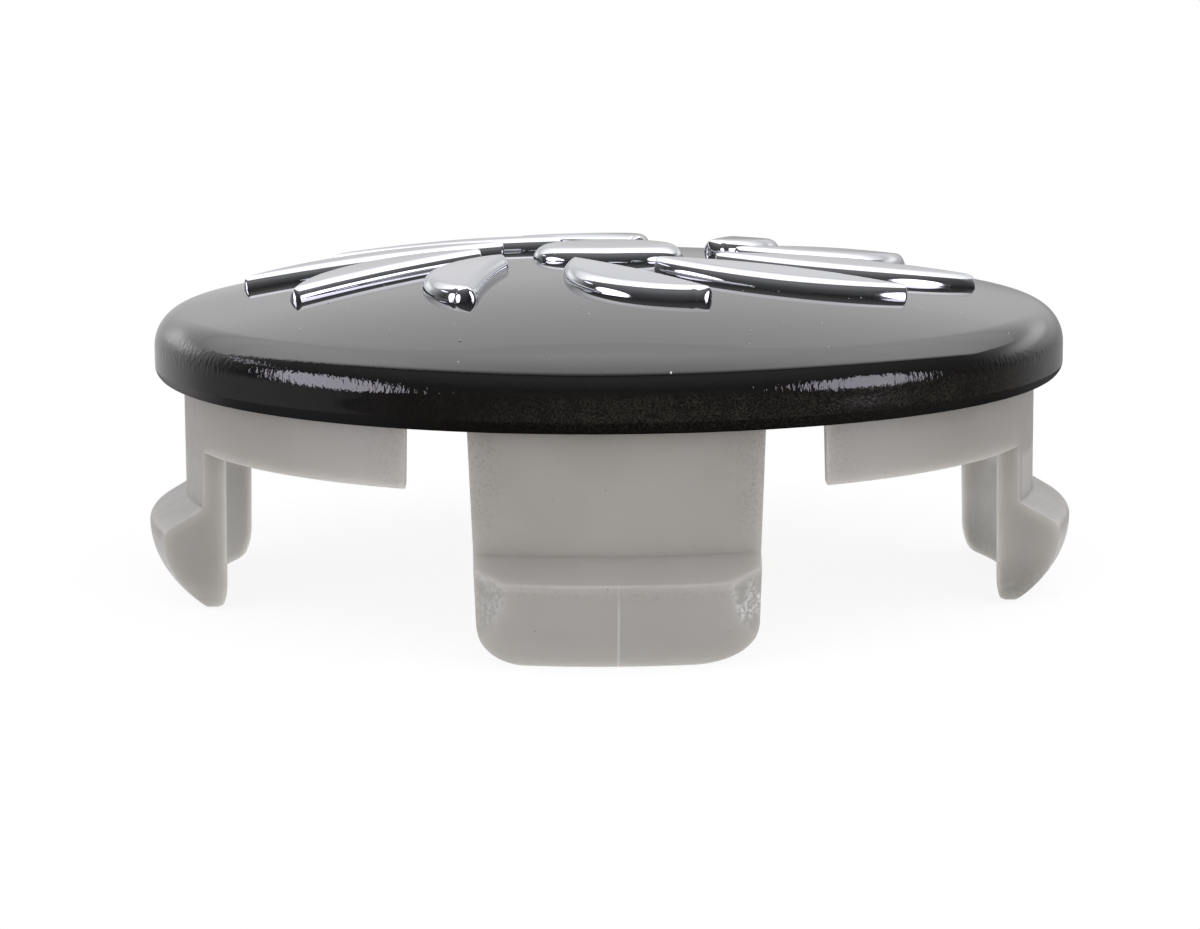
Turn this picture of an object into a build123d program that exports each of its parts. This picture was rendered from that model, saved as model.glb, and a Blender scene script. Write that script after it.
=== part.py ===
from build123d import *
import math
import os

# Snap-in wheel centre cap, one moulding. Millimetres, +Z up the cap's axis.
# The leg tips stand on Z = 0 and the front of the cap faces -Y.

# Locating wall that enters the wheel's bore, and its short skirt
wall_dia = 60.0
wall_thk = 1.5
skirt_depth = 4.1
skirt_end_draft = 1.4  # degrees

# Face and rim
flange_reach = 2.0  # rim beyond the locating wall
rim_low_round = 0.95
rim_band = 1.3  # straight height between the rim's two roundings
shoulder_round = 2.6
crown_radius = 145.0  # dome of the face
shell_thk = 2.0

# Snap legs
leg_reach = 15.3  # flange seat to the leg tips
end_leg_width = 19.0  # front and back legs, at the seat
side_leg_width = 22.4  # left and right legs, at the seat
leg_draft = 2.2  # degrees, each side
slot_width = 3.9  # free slot on both sides of the front and back legs
end_tip_corner = 3.2
side_tip_corner = 2.2
tip_round = 0.5
tip_flat = 0.3

# Barb on every leg
ledge_drop = 8.05  # flange seat to the root of the ledge
ledge_slope = 31.0  # degrees below level
barb_reach = 2.6  # beyond the locating wall
crest_round = 0.7
lead_sweep = 48.0  # degrees of the elliptical lead-in, from the crest to the tip
bevel_crest_width = 14.2  # crest left between the bevels of the front and back barbs
bevel_turn = 42.0  # degrees from the leg's face

# Raised motif on the face: swept vanes round a button
vane_count = 10
motif_margin_x = 5.5  # rim's edge to the motif's ends, left and right
motif_margin_y = 14.0  # rim's edge to the motif's ends, front and back
button_length = 10.6  # left to right
button_width = 7.2
vane_gap = 2.9  # button to the roots of the vanes
vane_sweep = 34.0  # degrees
vane_belly = 4.6
vane_end_round = 0.8
motif_height = 1.0
motif_bevel = 0.4

# Levels and radii that follow from those above
wall_r = wall_dia / 2
inner_r = wall_r - wall_thk
face_r = wall_r + flange_reach
crest_r = wall_r + barb_reach
seat_z = leg_reach
embed = rim_low_round / 2
root_z = seat_z + embed
shoulder_x = face_r - shoulder_round
shoulder_z = seat_z + rim_low_round + rim_band
sphere_z = shoulder_z - math.sqrt((crown_radius - shoulder_round) ** 2 - shoulder_x**2)
crown_z = sphere_z + crown_radius
tip_half_x = face_r - motif_margin_x
tip_half_y = face_r - motif_margin_y
root_half_x = button_length / 2 + vane_gap
root_half_y = button_width / 2 + vane_gap
beyond = 2 * face_r


def on_circle(centre, radius, angle):
    """Point of a circle in the section plane, by its angle from level in radians."""
    return Vector(centre[0] + radius * math.cos(angle), centre[1] + radius * math.sin(angle))


def on_dome(radius, across):
    """Section point of a sphere about the dome's centre, at a distance from the axis."""
    return Vector(across, sphere_z + math.sqrt(radius**2 - across**2))


def turned(*edges):
    """Solid of revolution of a closed section drawn with X as radius and Y as height."""
    return revolve(Plane.XZ * make_face(edges), Axis.Z)


def drafted_block(low_half, low_z, high_half, high_z, corner=0.0):
    """Block right through the cap along Y, its sides leaning, its low corners rounded if asked."""
    corners = [(-low_half, low_z), (low_half, low_z), (high_half, high_z), (-high_half, high_z)]
    outline = make_face(Polyline(*corners, close=True))
    if corner:
        outline = fillet(outline.vertices().group_by(Axis.Y)[0], corner)
    return extrude(Plane.XZ * outline, amount=beyond, both=True)


def make_shell():
    """Domed face with its rim and flat flange underside."""
    shoulder = (shoulder_x, shoulder_z)
    lean = math.atan2(shoulder_z - sphere_z, shoulder_x)
    low_centre = (face_r - rim_low_round, seat_z + rim_low_round)
    seat_in = Vector(inner_r, seat_z)
    seat_out = Vector(low_centre[0], seat_z)
    band_low = Vector(face_r, low_centre[1])
    band_high = Vector(face_r, shoulder_z)
    dome_edge = on_circle(shoulder, shoulder_round, lean)
    crown = Vector(0, crown_z)
    under_crown = Vector(0, crown_z - shell_thk)
    under_r = crown_radius - shell_thk
    under_edge = on_dome(under_r, inner_r)
    return turned(
        Line(seat_in, seat_out),
        ThreePointArc(seat_out, on_circle(low_centre, rim_low_round, -math.pi / 4), band_low),
        Line(band_low, band_high),
        ThreePointArc(band_high, on_circle(shoulder, shoulder_round, lean / 2), dome_edge),
        ThreePointArc(dome_edge, on_dome(crown_radius, dome_edge.X / 2), crown),
        Line(crown, under_crown),
        ThreePointArc(under_crown, on_dome(under_r, inner_r / 2), under_edge),
        Line(under_edge, seat_in),
    )


def make_skirt():
    """Short locating skirt, open at the front and back for the free legs."""
    low_z = seat_z - skirt_depth
    section = Polyline((inner_r, low_z), (wall_r, low_z), (wall_r, root_z), (inner_r, root_z), close=True)
    gap = end_leg_width / 2 + slot_width
    flare = math.tan(math.radians(skirt_end_draft))
    window = drafted_block(gap + skirt_depth * flare, low_z, gap - embed * flare, root_z)
    return turned(section) - window


def make_leg_ring():
    """The legs' section with its barb, turned all the way round."""
    slope = math.radians(ledge_slope)
    crest_turn = math.pi / 2 - slope
    corner_z = seat_z - ledge_drop - barb_reach * math.tan(slope)
    crest_z = corner_z - crest_round * math.tan(crest_turn / 2)
    crest_centre = (crest_r - crest_round, crest_z)
    wall_top = Vector(wall_r, root_z)
    ledge = Vector(wall_r, seat_z - ledge_drop)
    ledge_end = on_circle(crest_centre, crest_round, crest_turn)
    crest = Vector(crest_r, crest_z)
    tip_in = Vector(inner_r + tip_round, 0)
    tip_out = Vector(tip_in.X + tip_flat, 0)
    tip_side = Vector(inner_r, tip_round)
    sweep = math.radians(lead_sweep)
    lead_x = (crest_r - tip_out.X) / (1 - math.cos(sweep))
    lead_z = crest_z / math.sin(sweep)
    lead_centre = (crest_r - lead_x, crest_z)
    inner_top = Vector(inner_r, root_z)
    return turned(
        Line(wall_top, ledge),
        Line(ledge, ledge_end),
        ThreePointArc(ledge_end, on_circle(crest_centre, crest_round, crest_turn / 2), crest),
        EllipticalCenterArc(lead_centre, lead_x, lead_z, start_angle=-lead_sweep, arc_size=lead_sweep),
        Line(tip_out, tip_in),
        ThreePointArc(tip_in, on_circle((tip_in.X, tip_round), tip_round, -math.pi * 3 / 4), tip_side),
        Line(tip_side, inner_top),
        Line(inner_top, wall_top),
    )


def make_leg_pair(leg_ring, width, corner):
    """Front and back leg of a given width: the turned section kept inside a drafted block."""
    lean = math.tan(math.radians(leg_draft))
    block = drafted_block(width / 2 - leg_reach * lean, 0, width / 2 + embed * lean, root_z, corner)
    return leg_ring & block


def bevel_barbs(legs):
    """Cut the four crest corners of the front and back barbs back at an angle."""
    half = bevel_crest_width / 2
    crest_y = math.sqrt(crest_r**2 - half**2)
    cutter = Box(beyond, beyond, beyond, align=(Align.CENTER, Align.MAX, Align.CENTER))
    for front in (0, 180):
        for side in (1, -1):
            corner = Pos(side * half, -crest_y, seat_z) * Rot(0, 0, side * bevel_turn)
            legs -= Rot(0, 0, front) * corner * cutter
    return legs


def vane_outline(turn):
    """Outline of one swept vane: two arcs that meet at rounded ends."""

    def spine(share):
        half_x = root_half_x + (tip_half_x - root_half_x) * share
        half_y = root_half_y + (tip_half_y - root_half_y) * share
        angle = math.radians(turn + vane_sweep * share)
        return Vector(half_x * math.cos(angle), half_y * math.sin(angle))

    root, middle, tip = spine(0), spine(0.5), spine(1)
    along = (tip - root).normalized()
    belly = Vector(-along.Y, along.X) * vane_belly / 2
    sides = [ThreePointArc(root, middle + belly, tip), ThreePointArc(tip, middle - belly, root)]
    outline = make_face(sides)
    return fillet(outline.vertices(), vane_end_round)


def make_motif():
    """Vanes and button: outlines cut from a thin spherical band at the face, with bevelled top edges."""
    outlines = [vane_outline(360 * step / vane_count) for step in range(vane_count)]
    outlines.append(make_face(Ellipse(button_length / 2, button_width / 2)))
    band = Sphere(crown_radius + motif_height) - Sphere(crown_radius - shell_thk / 2)
    band = Pos(0, 0, sphere_z) * band
    raised = []
    for outline in outlines:
        block = extrude(Pos(0, 0, seat_z) * outline, amount=crown_z) & band
        crest = block.faces().sort_by(Axis.Z)[-1]
        raised.append(chamfer(crest.edges(), motif_bevel))
    return raised


leg_ring = make_leg_ring()
end_legs = bevel_barbs(make_leg_pair(leg_ring, end_leg_width, end_tip_corner))
side_legs = Rot(0, 0, 90) * make_leg_pair(leg_ring, side_leg_width, side_tip_corner)
centre_cap = make_shell() + make_skirt()
centre_cap += end_legs
centre_cap += side_legs
for piece in make_motif():
    centre_cap += piece

os.makedirs("parts", exist_ok=True)
export_step(centre_cap, "parts/centre_cap.step")
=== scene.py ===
"""Looks of a snap-in wheel centre cap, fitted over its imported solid.

The cap is one moulding: a domed face and rim in gloss black paint, a bright plated motif raised
on the face, and below them a locating skirt and four barbed legs left in bare warm grey plastic.
Lengths are millimetres in the solid's own frame (Z up the cap's axis, the front leg at -Y, the
leg tips at Z = 0) until a mesh is made, which is in metres.
"""

import logging
import math
from dataclasses import dataclass, field
from enum import Enum

import bpy
import numpy as np
from mathutils import Matrix, Vector


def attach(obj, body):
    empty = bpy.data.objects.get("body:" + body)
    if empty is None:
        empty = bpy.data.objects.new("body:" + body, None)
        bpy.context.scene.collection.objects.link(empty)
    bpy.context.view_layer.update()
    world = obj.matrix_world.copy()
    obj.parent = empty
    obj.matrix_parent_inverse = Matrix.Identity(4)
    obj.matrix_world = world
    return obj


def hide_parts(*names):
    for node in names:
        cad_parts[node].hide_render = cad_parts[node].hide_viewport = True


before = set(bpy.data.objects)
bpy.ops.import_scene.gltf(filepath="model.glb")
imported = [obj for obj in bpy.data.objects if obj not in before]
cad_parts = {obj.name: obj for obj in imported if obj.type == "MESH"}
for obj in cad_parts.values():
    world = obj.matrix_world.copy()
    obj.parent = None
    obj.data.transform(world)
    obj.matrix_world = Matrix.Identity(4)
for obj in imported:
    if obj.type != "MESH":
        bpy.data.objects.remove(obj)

MM = 0.001
BODY = "root"
NODE = "centre_cap"
ROUND_OFF = 1e-9

log = logging.getLogger("centre_cap")

Colour = tuple[float, float, float]
Point = tuple[float, float, float]
Socket = bpy.types.NodeSocket


class Facing(Enum):
    """Quarter of the cap that a leg stands in."""

    FRONT = "front"
    BACK = "back"
    RIGHT = "right"
    LEFT = "left"

    @property
    def turn(self) -> float:
        """Degrees about Z from where the leg is drawn, which is at the front or at the right."""
        return 180.0 if self in (Facing.BACK, Facing.LEFT) else 0.0


class Coat(Enum):
    """Material index of each part of the face's mesh."""

    PAINT = 0
    DRY = 1
    BARE = 2


# Mesh arrays


@dataclass
class Shape:
    """A closed surface: points in millimetres, and its faces as arrays of equal-sided polygons."""

    points: np.ndarray
    faces: list[np.ndarray]
    coats: list[int] = field(default_factory=list)
    marks: dict[str, np.ndarray] = field(default_factory=dict)

    def volume(self) -> float:
        """Signed volume: a sixth of the triple products of every face's fan of triangles."""
        total = 0.0
        for block in self.faces:
            first = self.points[block[:, 0]]
            for step in range(1, block.shape[1] - 1):
                second = self.points[block[:, step]]
                third = self.points[block[:, step + 1]]
                total += float(np.einsum("ij,ij->", first, np.cross(second, third)))
        return total / 6.0

    def faced_out(self) -> "Shape":
        """The same shape with every face turned round if the faces point inwards."""
        if self.volume() < 0.0:
            self.faces = [block[:, ::-1] for block in self.faces]
        return self

    def turned(self, degrees: float) -> "Shape":
        """The same shape turned about Z.

        Args:
            degrees: Turn, anticlockwise from above.

        Returns:
            This shape, its points turned.
        """
        angle = math.radians(degrees)
        turn = np.array([[math.cos(angle), -math.sin(angle)], [math.sin(angle), math.cos(angle)]])
        self.points[:, :2] = self.points[:, :2] @ turn.T
        return self

    def as_object(self, name: str, materials: list[bpy.types.Material], sharp: float) -> bpy.types.Object:
        """Put the arrays into a smooth-shaded mesh object at the origin.

        Args:
            name: Object's name.
            materials: Materials, in the order of the coats.
            sharp: Edges that fold by more than this many degrees stay sharp.

        Returns:
            The new object, linked to the scene.
        """
        mesh = bpy.data.meshes.new(name)
        sides = np.concatenate([np.full(len(block), block.shape[1]) for block in self.faces])
        corners = np.concatenate([block.ravel() for block in self.faces])
        coats = self.coats or [0] * len(self.faces)
        index = np.concatenate([np.full(len(block), coat) for block, coat in zip(self.faces, coats)])
        mesh.vertices.add(len(self.points))
        mesh.vertices.foreach_set("co", (self.points * MM).astype(np.float32).ravel())
        mesh.loops.add(len(corners))
        mesh.loops.foreach_set("vertex_index", corners.astype(np.int32))
        mesh.polygons.add(len(sides))
        starts = np.concatenate([[0], np.cumsum(sides)[:-1]])
        mesh.polygons.foreach_set("loop_start", starts.astype(np.int32))
        for material in materials:
            mesh.materials.append(material)
        mesh.update(calc_edges=True)
        mesh.polygons.foreach_set("material_index", index.astype(np.int32))
        mesh.polygons.foreach_set("use_smooth", np.ones(len(sides), dtype=bool))
        for label, values in self.marks.items():
            layer = mesh.attributes.new(label, "FLOAT", "POINT")
            layer.data.foreach_set("value", values.astype(np.float32))
        mesh.validate()
        mesh.set_sharp_from_angle(angle=math.radians(sharp))
        piece = bpy.data.objects.new(name, mesh)
        bpy.context.scene.collection.objects.link(piece)
        return piece


def joined(shapes: list[Shape]) -> Shape:
    """Several shapes as one: their points end to end, their faces counted on from each other.

    Args:
        shapes: Shapes without coats or marks.

    Returns:
        One shape.
    """
    starts = np.cumsum([0] + [len(shape.points) for shape in shapes[:-1]])
    faces = [block + start for shape, start in zip(shapes, starts) for block in shape.faces]
    return Shape(np.concatenate([shape.points for shape in shapes]), faces)


def cell_corners(rows: int, columns: int) -> list[np.ndarray]:
    """Numbers of the points at the four corners of a grid's cells, in order round each cell."""
    index = np.arange(rows * columns).reshape(rows, columns)
    return [index[:-1, :-1], index[1:, :-1], index[1:, 1:], index[:-1, 1:]]


def thick_sheet(outer: np.ndarray, inner: np.ndarray, active: np.ndarray,
                marks: dict[str, np.ndarray] | None = None) -> Shape:
    """Closed sheet between two skins: both skins' cells, and a wall along every open side.

    A grid's cell (i, j) has its corners at rows i, i + 1 and columns j, j + 1. A wall joins the
    skins wherever an active cell has no active neighbour.

    Args:
        outer: Outer skin's points, rows by columns by 3.
        inner: Inner skin's points, the same size.
        active: Which cells exist, one row and one column fewer than the points.
        marks: Values per point of the outer skin, rows by columns, carried by both skins.

    Returns:
        The closed shape, with the points that no cell uses left out.
    """
    rows, columns = outer.shape[:2]
    count = rows * columns
    ring = cell_corners(rows, columns)
    skin = np.stack([corner[active] for corner in ring], axis=1)
    padded = np.pad(active, 1)
    beyond = [padded[1:-1, :-2], padded[2:, 1:-1], padded[1:-1, 2:], padded[:-2, 1:-1]]
    walls = []
    for side in range(4):
        open_side = active & ~beyond[side]
        start = ring[side][open_side]
        end = ring[(side + 1) % 4][open_side]
        walls.append(np.stack([end, start, start + count, end + count], axis=1))
    faces = [skin, skin[:, ::-1] + count] + walls
    used, corners = np.unique(np.concatenate(faces), return_inverse=True)
    points = np.concatenate([outer.reshape(-1, 3), inner.reshape(-1, 3)])[used]
    values = {label: np.tile(layer.ravel(), 2)[used] for label, layer in (marks or {}).items()}
    return Shape(points, [corners.reshape(-1, 4)], marks=values).faced_out()


def lathe(profile: np.ndarray, segments: int) -> Shape:
    """Solid of revolution about Z: the profile's points carried round, its two ends on the axis.

    Args:
        profile: Radius and height of each point, the first and the last with radius 0.
        segments: Steps round the axis.

    Returns:
        The closed shape: one block of quads per step of the profile, and a fan at each pole.
    """
    angle = np.linspace(0.0, 2.0 * math.pi, segments, endpoint=False)
    radius, height = profile[1:-1, 0], profile[1:-1, 1]
    grid = np.stack([
        np.outer(radius, np.cos(angle)),
        np.outer(radius, np.sin(angle)),
        np.outer(height, np.ones(segments)),
    ], axis=2)
    rings = len(radius)
    index = np.arange(rings * segments).reshape(rings, segments)
    beside = np.roll(index, -1, axis=1)
    first, last = rings * segments, rings * segments + 1
    blocks = [np.stack([np.full(segments, first), index[0], beside[0]], axis=1)]
    quads = np.stack([index[:-1], index[1:], beside[1:], beside[:-1]], axis=2)
    blocks += list(quads)
    blocks.append(np.stack([np.full(segments, last), beside[-1], index[-1]], axis=1))
    poles = np.array([[0.0, 0.0, profile[0, 1]], [0.0, 0.0, profile[-1, 1]]])
    return Shape(np.concatenate([grid.reshape(-1, 3), poles]), blocks).faced_out()


def eased(value: np.ndarray, low: float, high: float) -> np.ndarray:
    """Smooth step: 0 at low, 1 at high, with level ends (3t^2 - 2t^3); high may lie below low."""
    share = np.clip((value - low) / (high - low), 0.0, 1.0)
    return share * share * (3.0 - 2.0 * share)


@dataclass(frozen=True)
class Ramp:
    """Smooth step from one level before the start to another after the end; it may run downwards."""

    start: float
    end: float
    before: float = 0.0
    after: float = 1.0

    def at(self, value: np.ndarray) -> np.ndarray:
        """Level at some values."""
        return self.before + (self.after - self.before) * eased(value, self.start, self.end)


# Sizes of the moulding


@dataclass(frozen=True)
class CapSizes:
    """Sizes shared by the cap's parts, in millimetres and degrees, equal to the solid's."""

    wall_r: float = 30.0
    inner_r: float = 28.5
    face_r: float = 32.0
    seat_z: float = 15.3
    skirt_depth: float = 4.1
    skirt_end_draft: float = 1.4
    slot_width: float = 3.9
    rim_low_round: float = 0.95
    rim_band: float = 1.3
    shoulder_round: float = 2.6
    crown_radius: float = 145.0
    shell_thk: float = 2.0
    end_leg_width: float = 19.0
    side_leg_width: float = 22.4
    leg_draft: float = 2.2

    @property
    def root_z(self) -> float:
        """Height at which the legs and the skirt end inside the rim."""
        return self.seat_z + self.rim_low_round / 2.0

    @property
    def skirt_low_z(self) -> float:
        """Height of the skirt's lower edge."""
        return self.seat_z - self.skirt_depth

    @property
    def shoulder_z(self) -> float:
        """Height of the shoulder's centre of rounding."""
        return self.seat_z + self.rim_low_round + self.rim_band

    @property
    def sphere_z(self) -> float:
        """Height of the dome's centre, from the dome and the shoulder being tangent."""
        reach = self.face_r - self.shoulder_round
        return self.shoulder_z - math.sqrt((self.crown_radius - self.shoulder_round) ** 2 - reach**2)

    def dome_height(self, x: np.ndarray, y: np.ndarray | float, radius: float) -> np.ndarray:
        """Height of a sphere about the dome's centre, over a place on the floor."""
        return self.sphere_z + np.sqrt(radius**2 - x**2 - y**2)

    def half_width(self, z: np.ndarray, width: float, corner: float) -> np.ndarray:
        """Half of a leg's width: sides that lean in towards a tip with round corners.

        The side is a straight line drafted in from the seat down. Below the tangent point it is
        the circle that touches both that line and the floor.

        Args:
            z: Heights.
            width: Leg's width at the seat.
            corner: Radius of the tip's corners.

        Returns:
            Half widths, one per height.
        """
        lean = math.radians(self.leg_draft)
        tip_half = width / 2.0 - self.seat_z * math.tan(lean)
        centre = tip_half - corner / math.cos(lean) + corner * math.tan(lean)
        tangent_z = corner * (1.0 - math.sin(lean))
        straight = tip_half + z * math.tan(lean)
        low = np.clip(z, 0.0, corner)
        rounded = centre + np.sqrt(np.maximum(corner**2 - (corner - low) ** 2, 0.0))
        return np.where(z > tangent_z, straight, rounded)


@dataclass(frozen=True)
class BarbSection:
    """Section through a leg: straight wall, sloped ledge, round crest and lead-in to the tip."""

    cap: CapSizes
    ledge_drop: float = 8.05
    ledge_slope: float = 31.0
    barb_reach: float = 2.6
    crest_round: float = 0.7
    lead_sweep: float = 48.0
    tip_round: float = 0.5
    tip_flat: float = 0.3
    ledge_rows: int = 8
    crest_rows: int = 12
    lead_rows: int = 34
    lead_bias: float = 1.7

    @property
    def ledge_z(self) -> float:
        """Height of the ledge's root."""
        return self.cap.seat_z - self.ledge_drop

    @property
    def crest_r(self) -> float:
        """Radius of the barb's crest."""
        return self.cap.wall_r + self.barb_reach

    @property
    def crest_z(self) -> float:
        """Height of the crest, where the rounding of the ledge's corner ends."""
        slope = math.radians(self.ledge_slope)
        corner_z = self.ledge_z - self.barb_reach * math.tan(slope)
        return corner_z - self.crest_round * math.tan((math.pi / 2.0 - slope) / 2.0)

    def rows(self, wall_levels: np.ndarray) -> tuple[np.ndarray, np.ndarray, np.ndarray]:
        """Section's two skins, row by row from the root down to the tip.

        The ledge is a line, the crest an arc of the crest's radius, and the lead-in a part of an
        ellipse that starts upright at the crest, its rows further apart near the crest. The
        inside is straight down to a round tip.

        Args:
            wall_levels: Heights of the rows on the straight wall, downwards to the ledge's root.

        Returns:
            Outer radius, inner radius and height of every row.
        """
        turn = math.pi / 2.0 - math.radians(self.ledge_slope)
        arc = np.linspace(turn, 0.0, self.crest_rows)
        arc_r = self.crest_r - self.crest_round + self.crest_round * np.cos(arc)
        arc_z = self.crest_z + self.crest_round * np.sin(arc)
        share = np.linspace(0.0, 1.0, self.ledge_rows + 1)[1:-1]
        ledge_r = self.cap.wall_r + (arc_r[0] - self.cap.wall_r) * share
        ledge_z = self.ledge_z + (arc_z[0] - self.ledge_z) * share
        tip_in = self.cap.inner_r + self.tip_round
        tip_out = tip_in + self.tip_flat
        sweep = math.radians(self.lead_sweep)
        lead_x = (self.crest_r - tip_out) / (1.0 - math.cos(sweep))
        lead_z = self.crest_z / math.sin(sweep)
        down = np.linspace(0.0, 1.0, self.lead_rows + 1)[1:]
        angle = sweep * (1.0 - (1.0 - down) ** self.lead_bias)
        low_r = self.crest_r - lead_x * (1.0 - np.cos(angle))
        low_z = self.crest_z - lead_z * np.sin(angle)
        z = np.concatenate([wall_levels, ledge_z, arc_z, low_z])
        z = np.where(np.abs(z) < ROUND_OFF, 0.0, z)
        outer = np.concatenate([np.full(len(wall_levels), self.cap.wall_r), ledge_r, arc_r, low_r])
        dip = self.tip_round - np.clip(z, 0.0, self.tip_round)
        inner = tip_in - np.sqrt(np.maximum(self.tip_round**2 - dip**2, 0.0))
        return outer, inner, z


# Finishes


@dataclass(frozen=True)
class Noise:
    """Noise pattern in waves per millimetre, and the ramp that spreads its values, if it has one."""

    scale: float
    detail: float = 2.0
    weight: float = 0.5
    stretch: Point = (1.0, 1.0, 1.0)
    shift: Point = (0.0, 0.0, 0.0)
    ramp: Ramp | None = None


@dataclass(frozen=True)
class Specks:
    """Scattered round specks: size of a cell, largest radius, share of the cells that have one."""

    cell: float
    size: float
    kept: float
    soft: float = 0.25


class Bench:
    """Short hand for writing one material's nodes, with places in millimetres."""

    def __init__(self, name: str) -> None:
        """Start a material with an empty tree and its output."""
        self.material = bpy.data.materials.new(name)
        self.material.use_nodes = True
        self.tree = self.material.node_tree
        self.tree.nodes.clear()
        self.output = self.tree.nodes.new("ShaderNodeOutputMaterial")
        coordinate = self.tree.nodes.new("ShaderNodeTexCoord")
        scaled = self.add("ShaderNodeVectorMath", {"operation": "SCALE"},
                          {0: coordinate.outputs["Object"], "Scale": 1.0 / MM})
        self.place = scaled.outputs[0]
        split = self.add("ShaderNodeSeparateXYZ", {}, {0: self.place})
        self.x, self.y, self.z = split.outputs
        flat = self.add("ShaderNodeVectorMath", {"operation": "MULTIPLY"},
                        {0: self.place, 1: (1.0, 1.0, 0.0)})
        length = self.add("ShaderNodeVectorMath", {"operation": "LENGTH"}, {0: flat.outputs[0]})
        self.radius = length.outputs["Value"]

    def add(self, kind: str, settings: dict, inputs: dict) -> bpy.types.Node:
        """Add a node.

        Args:
            kind: Node's type.
            settings: Its properties.
            inputs: Its sockets by name or number, each a constant or another node's socket.

        Returns:
            The node.
        """
        node = self.tree.nodes.new(kind)
        for label, value in settings.items():
            setattr(node, label, value)
        for label, value in inputs.items():
            if isinstance(value, Socket):
                self.tree.links.new(value, node.inputs[label])
            else:
                node.inputs[label].default_value = value
        return node

    def math(self, operation: str, first: Socket | float, second: Socket | float = 0.0) -> Socket:
        """Result of a math node on one or two values."""
        return self.add("ShaderNodeMath", {"operation": operation}, {0: first, 1: second}).outputs[0]

    def product(self, first: Socket, *others: Socket | float) -> Socket:
        """Product of several values."""
        for other in others:
            first = self.math("MULTIPLY", first, other)
        return first

    def spread(self, value: Socket, ramp: Ramp) -> Socket:
        """Level of a ramp at a value."""
        ends = [ramp.start, ramp.end, ramp.before, ramp.after]
        if ramp.start > ramp.end:
            ends = [ramp.end, ramp.start, ramp.after, ramp.before]
        inputs = dict(enumerate([value, *ends]))
        return self.add("ShaderNodeMapRange", {"interpolation_type": "SMOOTHSTEP"}, inputs).outputs[0]

    def noise(self, pattern: Noise) -> Socket:
        """Value of a noise pattern.

        Args:
            pattern: The pattern.

        Returns:
            The noise, from about 0 to 1, or the level of the pattern's ramp at it.
        """
        mapped = self.add("ShaderNodeMapping", {},
                          {"Vector": self.place, "Location": pattern.shift, "Scale": pattern.stretch})
        inputs = {"Vector": mapped.outputs[0], "Scale": pattern.scale, "Detail": pattern.detail,
                  "Roughness": pattern.weight}
        value = self.add("ShaderNodeTexNoise", {}, inputs).outputs["Fac"]
        return value if pattern.ramp is None else self.spread(value, pattern.ramp)

    def specks(self, pattern: Specks, across: Socket, along: Socket) -> Socket:
        """Scattered round specks on a plane, at most one in each cell of a random lattice.

        Args:
            pattern: Cells and sizes of the specks.
            across: First coordinate on the plane.
            along: Second coordinate on the plane.

        Returns:
            1 inside a speck, 0 outside, with a soft edge.
        """
        spot = self.add("ShaderNodeCombineXYZ", {}, {0: across, 1: along})
        cells = self.add("ShaderNodeTexVoronoi", {"voronoi_dimensions": "2D"},
                         {"Vector": spot.outputs[0], "Scale": 1.0 / pattern.cell})
        picked = self.add("ShaderNodeSeparateColor", {}, {0: cells.outputs["Color"]})
        grown = self.math("MULTIPLY", picked.outputs[1], pattern.size / pattern.cell)
        inside = self.math("SUBTRACT", grown, cells.outputs["Distance"])
        soft = self.spread(inside, Ramp(0.0, pattern.soft * pattern.size / pattern.cell))
        chosen = self.math("LESS_THAN", picked.outputs[0], pattern.kept)
        return self.product(soft, chosen)

    def mark(self, label: str) -> Socket:
        """The piece's own value per point."""
        return self.add("ShaderNodeAttribute", {"attribute_name": label}, {}).outputs["Fac"]

    def blend(self, share: Socket | float, first: Socket | Colour, second: Socket | Colour) -> Socket:
        """Colour between two colours."""
        ends = [end if isinstance(end, Socket) else (*end, 1.0) for end in (first, second)]
        node = self.add("ShaderNodeMix", {"data_type": "RGBA"}, {0: share, 6: ends[0], 7: ends[1]})
        return node.outputs[2]

    def bump(self, height: Socket, depth: float, below: Socket | None = None) -> Socket:
        """Normal of a height pattern.

        Args:
            height: Height from 0 to 1.
            depth: Millimetres that a height of 1 stands for.
            below: Normal that the pattern lies on, if any.

        Returns:
            The normal.
        """
        inputs = {"Height": height, "Distance": depth * MM, "Strength": 1.0}
        if below is not None:
            inputs["Normal"] = below
        return self.add("ShaderNodeBump", {}, inputs).outputs[0]

    def surface(self, shader: bpy.types.Node) -> bpy.types.Material:
        """End the tree with a shader, and give the material."""
        self.tree.links.new(shader.outputs[0], self.output.inputs["Surface"])
        return self.material

    def finish(self, inputs: dict) -> bpy.types.Material:
        """End the tree with one principled shader that has these sockets, and give the material."""
        return self.surface(self.add("ShaderNodeBsdfPrincipled", {}, inputs))


# The rim's dry spray is weaker on the left
DRY_ACROSS = Ramp(-16.0, 3.0, 0.2, 1.0)


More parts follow.
